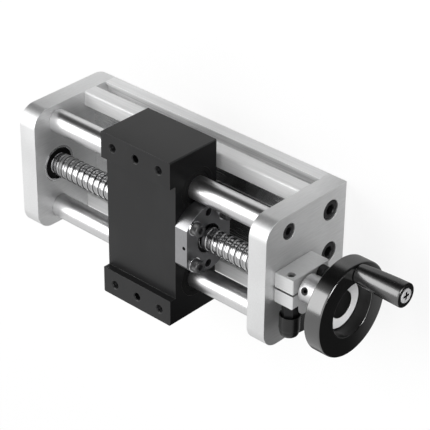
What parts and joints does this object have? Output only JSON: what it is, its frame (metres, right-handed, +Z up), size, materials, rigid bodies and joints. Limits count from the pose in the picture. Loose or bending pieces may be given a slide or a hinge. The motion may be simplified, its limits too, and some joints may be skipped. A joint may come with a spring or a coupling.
{
  "type": "linear stage",
  "caption": "Manual linear stage: black carriage on guide rods, driven by a ball screw with a handwheel, between end plates on an extruded base, with a shaft clamp.",
  "frame": {"origin": "centre of the base's underside, midway between the end plates", "axes": "+X along the screw towards the handwheel, +Z up from the base to the carriage"},
  "size_m": [0.3017, 0.1208, 0.0853],
  "materials": {
    "plate_aluminium": "fine satin, clear anodised",
    "profile_aluminium": "satin extrusion, clear anodised",
    "block_aluminium": "fine satin, clear anodised",
    "rod_steel": "ground and polished",
    "screw_steel": "ground thread",
    "bearing_steel": "ground",
    "nut_steel": "ground, slightly dark",
    "bright_steel": "bright zinc plated",
    "black_anodised": "matt black anodised",
    "black_oxide": "black oxide",
    "cap_steel": "bright, slightly worn",
    "seal_rubber": "matt",
    "lever_black": "black powder coat",
    "wheel_black": "polished black"
  },
  "bodies": {
    "base": {"left_end_plate": "plate_aluminium", "right_end_plate": "plate_aluminium", "base_profile": "profile_aluminium", "guide_rod_front": "rod_steel", "guide_rod_back": "rod_steel", "rod_screws": "black_oxide", "base_screws": "black_oxide", "left_bearing_outer_ring": "bearing_steel", "right_bearing_outer_ring": "bearing_steel", "left_bearing_seals": "seal_rubber", "right_bearing_seals": "seal_rubber", "clamp_block": "block_aluminium", "clamp_block_screws": "black_oxide"},
    "carriage": {"carriage_block": "black_anodised", "bushing_front_left": "bearing_steel", "bushing_front_right": "bearing_steel", "bushing_back_left": "bearing_steel", "bushing_back_right": "bearing_steel", "bushing_seals": "seal_rubber", "ball_nut": "nut_steel", "nut_wipers": "seal_rubber", "nut_screws": "cap_steel", "nut_washers": "bright_steel"},
    "screw": {"ball_screw": "screw_steel", "left_bearing_inner_ring": "bearing_steel", "right_bearing_inner_ring": "bearing_steel", "hub_sleeve": "bright_steel", "sleeve_set_screw": "black_oxide", "handwheel": "wheel_black", "hub_ring": "bright_steel", "hub_cap": "wheel_black", "handle_axle": "bright_steel"},
    "handle": {"handle_grip": "wheel_black"},
    "lever": {"clamp_lever": "lever_black", "lever_insert": "black_oxide", "lever_tip_screw": "bright_steel"}
  },
  "joints": [
    {"name": "screw_turn", "type": "hinge", "parent": "base", "child": "screw", "pos_m": [0, 0, 0.054], "axis": [1, 0, 0], "range_deg": [-3168, 4032]},
    {"name": "carriage_slide", "type": "slide", "parent": "base", "child": "carriage", "axis": [1, 0, 0], "range_m": [-0.056, 0.044]},
    {"name": "handle_turn", "type": "hinge", "parent": "screw", "child": "handle", "pos_m": [0.176, 0.0241, 0.04958], "axis": [1, 0, 0], "continuous": true},
    {"name": "lever_turn", "type": "hinge", "parent": "base", "child": "lever", "pos_m": [0.1174, -0.026, 0.0619], "axis": [0, -1, 0], "range_deg": [0, 50]}
  ],
  "couplings": [
    {"joint": "carriage_slide", "follows": "screw_turn", "m_per_rad": -0.00079577}
  ]
}
